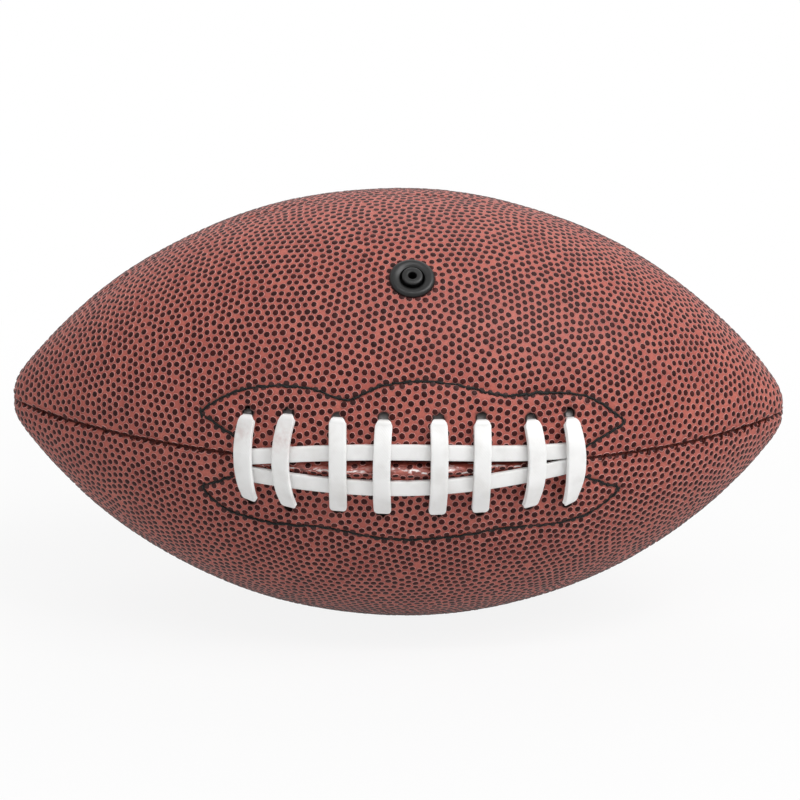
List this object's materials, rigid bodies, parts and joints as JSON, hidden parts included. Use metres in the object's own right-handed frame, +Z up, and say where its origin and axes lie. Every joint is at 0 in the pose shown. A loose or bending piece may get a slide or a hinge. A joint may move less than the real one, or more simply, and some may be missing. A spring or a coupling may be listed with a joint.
{
  "type": "american football",
  "caption": "Pointed oval ball with a pebbled panelled cover, raised white laces across the front seam, and a round rubber valve whose plug takes an inflating needle.",
  "frame": {"origin": "middle of the ball, on its long axis, halfway between the two tips", "axes": "+X along the ball from the left tip to the right tip, laces facing -Y, +Z up with the valve above the laces"},
  "size_m": [0.1996, 0.1144, 0.1104],
  "materials": {
    "cover": "matte pebbled",
    "lining": "matte",
    "facing": "matte",
    "facing_thread": "satin",
    "seam_thread": "satin",
    "lace": "satin",
    "tongue": "matte",
    "bladder": "matte",
    "valve_rubber": "satin"
  },
  "bodies": {
    "ball": {"panel_front_upper": "cover", "panel_front_lower": "cover", "panel_back_upper": "cover", "panel_back_lower": "cover", "lining_front_upper": "lining", "lining_front_lower": "lining", "lining_back_upper": "lining", "lining_back_lower": "lining", "facing_upper": "facing", "facing_lower": "facing", "facing_stitches_upper": "facing_thread", "facing_stitches_lower": "facing_thread", "seam_thread_top": "seam_thread", "seam_thread_bottom": "seam_thread", "seam_thread_back": "seam_thread", "seam_thread_lace_left": "seam_thread", "seam_thread_lace_right": "seam_thread", "lace": "lace", "lace_tongue": "tongue", "bladder": "bladder", "valve_collar": "valve_rubber"},
    "valve_plug": {"valve_plug": "valve_rubber"}
  },
  "joints": [
    {"name": "valve_plug_pull", "type": "slide", "parent": "ball", "child": "valve_plug", "axis": [0, -0.6428, 0.766], "range_m": [0, 0.014]}
  ]
}
